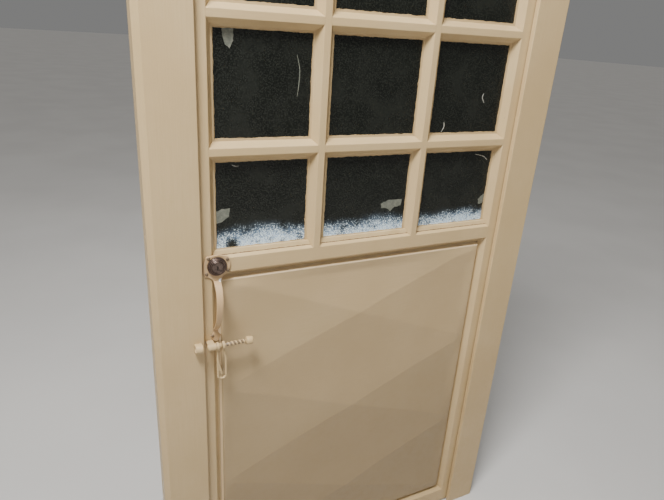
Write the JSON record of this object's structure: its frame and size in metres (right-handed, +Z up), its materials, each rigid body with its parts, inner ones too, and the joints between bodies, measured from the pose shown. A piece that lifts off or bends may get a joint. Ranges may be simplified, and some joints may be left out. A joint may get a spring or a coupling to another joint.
{
  "type": "glazed panelled steel door in its frame",
  "caption": "Steel door leaf hung in its frame: small square panes over a creased pressed panel, with pull handle, rim lock, slide bolt and hanging link.",
  "frame": {"origin": "middle of the doorway on the floor, in the plane of the front flats of the leaf", "axes": "+X to the hinge side, +Y through the doorway away from the front, +Z up"},
  "size_m": [1.032, 0.1254, 2.138],
  "materials": {
    "cream_enamel": "brushed cream enamel, worn and dirty in the grooves",
    "glass": "fine patterned glass, dark behind",
    "putty": "painted putty",
    "bronze": "dark brown bronze",
    "brass": "tarnished brass",
    "lock_enamel": "dark brown enamel",
    "steel": "plain bright steel"
  },
  "bodies": {
    "frame": {"lock_jamb": "cream_enamel", "hinge_jamb": "cream_enamel", "frame_head": "cream_enamel", "strike_box": "lock_enamel", "strike_screws": "steel", "bolt_keeper": "cream_enamel", "hinge_pins": "steel", "hinge_washers": "brass", "hinge_frame_halves": "cream_enamel"},
    "leaf": {"bolt_sleeve": "cream_enamel", "bottom_left_pane": "glass", "bottom_middle_pane": "glass", "bottom_rail": "cream_enamel", "bottom_right_pane": "glass", "handle_screws": "cream_enamel", "hinge_leaf_halves": "cream_enamel", "hinge_stile": "cream_enamel", "left_cross_bar_1": "cream_enamel", "left_cross_bar_2": "cream_enamel", "left_cross_bar_3": "cream_enamel", "left_upright_bar": "cream_enamel", "lock_collar": "bronze", "lock_cylinder": "brass", "lock_screws": "steel", "lock_stile": "cream_enamel", "low_beads": "cream_enamel", "middle_cross_bar_1": "cream_enamel", "middle_cross_bar_2": "cream_enamel", "middle_cross_bar_3": "cream_enamel", "middle_rail": "cream_enamel", "pressed_panel": "cream_enamel", "pull_handle": "cream_enamel", "putty": "putty", "right_cross_bar_1": "cream_enamel", "right_cross_bar_2": "cream_enamel", "right_cross_bar_3": "cream_enamel", "right_upright_bar": "cream_enamel", "rim_lock_case": "lock_enamel", "second_left_pane": "glass", "second_middle_pane": "glass", "second_right_pane": "glass", "third_left_pane": "glass", "third_middle_pane": "glass", "third_right_pane": "glass", "top_left_pane": "glass", "top_middle_pane": "glass", "top_rail": "cream_enamel", "top_right_pane": "glass"},
    "key_plug": {"cylinder_plug": "brass"},
    "inside_turn": {"thumb_turn": "lock_enamel"},
    "dead_bolt": {"dead_bolt": "steel"},
    "latch": {"latch_bolt": "steel", "latch_knob": "lock_enamel"},
    "slide_bolt": {"slide_bolt": "cream_enamel"},
    "link": {"hanging_link": "cream_enamel"}
  },
  "joints": [
    {"name": "leaf_swing", "type": "hinge", "parent": "frame", "child": "leaf", "pos_m": [0.4205, 0.047, 1.03], "axis": [0, 0, -1], "range_deg": [0, 105]},
    {"name": "key_turn", "type": "hinge", "parent": "leaf", "child": "key_plug", "pos_m": [-0.3747, 0, 0.9917], "axis": [0, 1, 0], "range_deg": [0, 90]},
    {"name": "inside_turn_turn", "type": "hinge", "parent": "leaf", "child": "inside_turn", "pos_m": [-0.3747, 0.06, 0.9917], "axis": [0, 1, 0], "range_deg": [0, 90]},
    {"name": "dead_bolt_throw", "type": "slide", "parent": "leaf", "child": "dead_bolt", "axis": [-1, 0, 0], "range_m": [0, 0.016]},
    {"name": "latch_throw", "type": "slide", "parent": "leaf", "child": "latch", "axis": [-1, 0, 0], "range_m": [0, 0.01]},
    {"name": "slide_bolt_slide", "type": "slide", "parent": "leaf", "child": "slide_bolt", "axis": [-1, 0, 0], "range_m": [0, 0.035]},
    {"name": "link_swing", "type": "hinge", "parent": "leaf", "child": "link", "pos_m": [-0.3756, -0.024, 0.8035], "axis": [1, 0, 0], "range_deg": [-100, 10]}
  ],
  "couplings": [
    {"joint": "inside_turn_turn", "follows": "key_turn", "ratio": 1},
    {"joint": "dead_bolt_throw", "follows": "key_turn", "m_per_rad": 0.01018}
  ]
}
